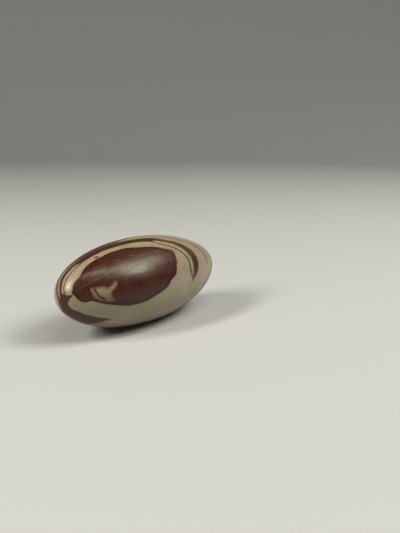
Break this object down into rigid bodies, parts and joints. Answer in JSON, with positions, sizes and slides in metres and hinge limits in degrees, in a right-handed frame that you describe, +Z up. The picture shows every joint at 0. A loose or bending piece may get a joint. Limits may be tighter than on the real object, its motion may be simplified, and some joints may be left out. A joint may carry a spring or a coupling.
{
  "type": "shiva lingam stone",
  "caption": "Egg-shaped river stone, hand polished, cream and dark red banding with a large red lens on one side; lies on a small flat spot as a desk or altar ornament.",
  "frame": {"origin": "on the ground, under the middle of the stone's box", "axes": "+X along the long axis towards the slimmer end, -X towards the blunter end; +Z up from the resting spot; the big red lens faces -Y, a little up and towards -X"},
  "size_m": [0.102, 0.0448, 0.0437],
  "materials": {
    "polished_stone": "hand polished, semi-gloss, banded cream and dark red"
  },
  "bodies": {
    "root": {"stone": "polished_stone"}
  },
  "joints": []
}
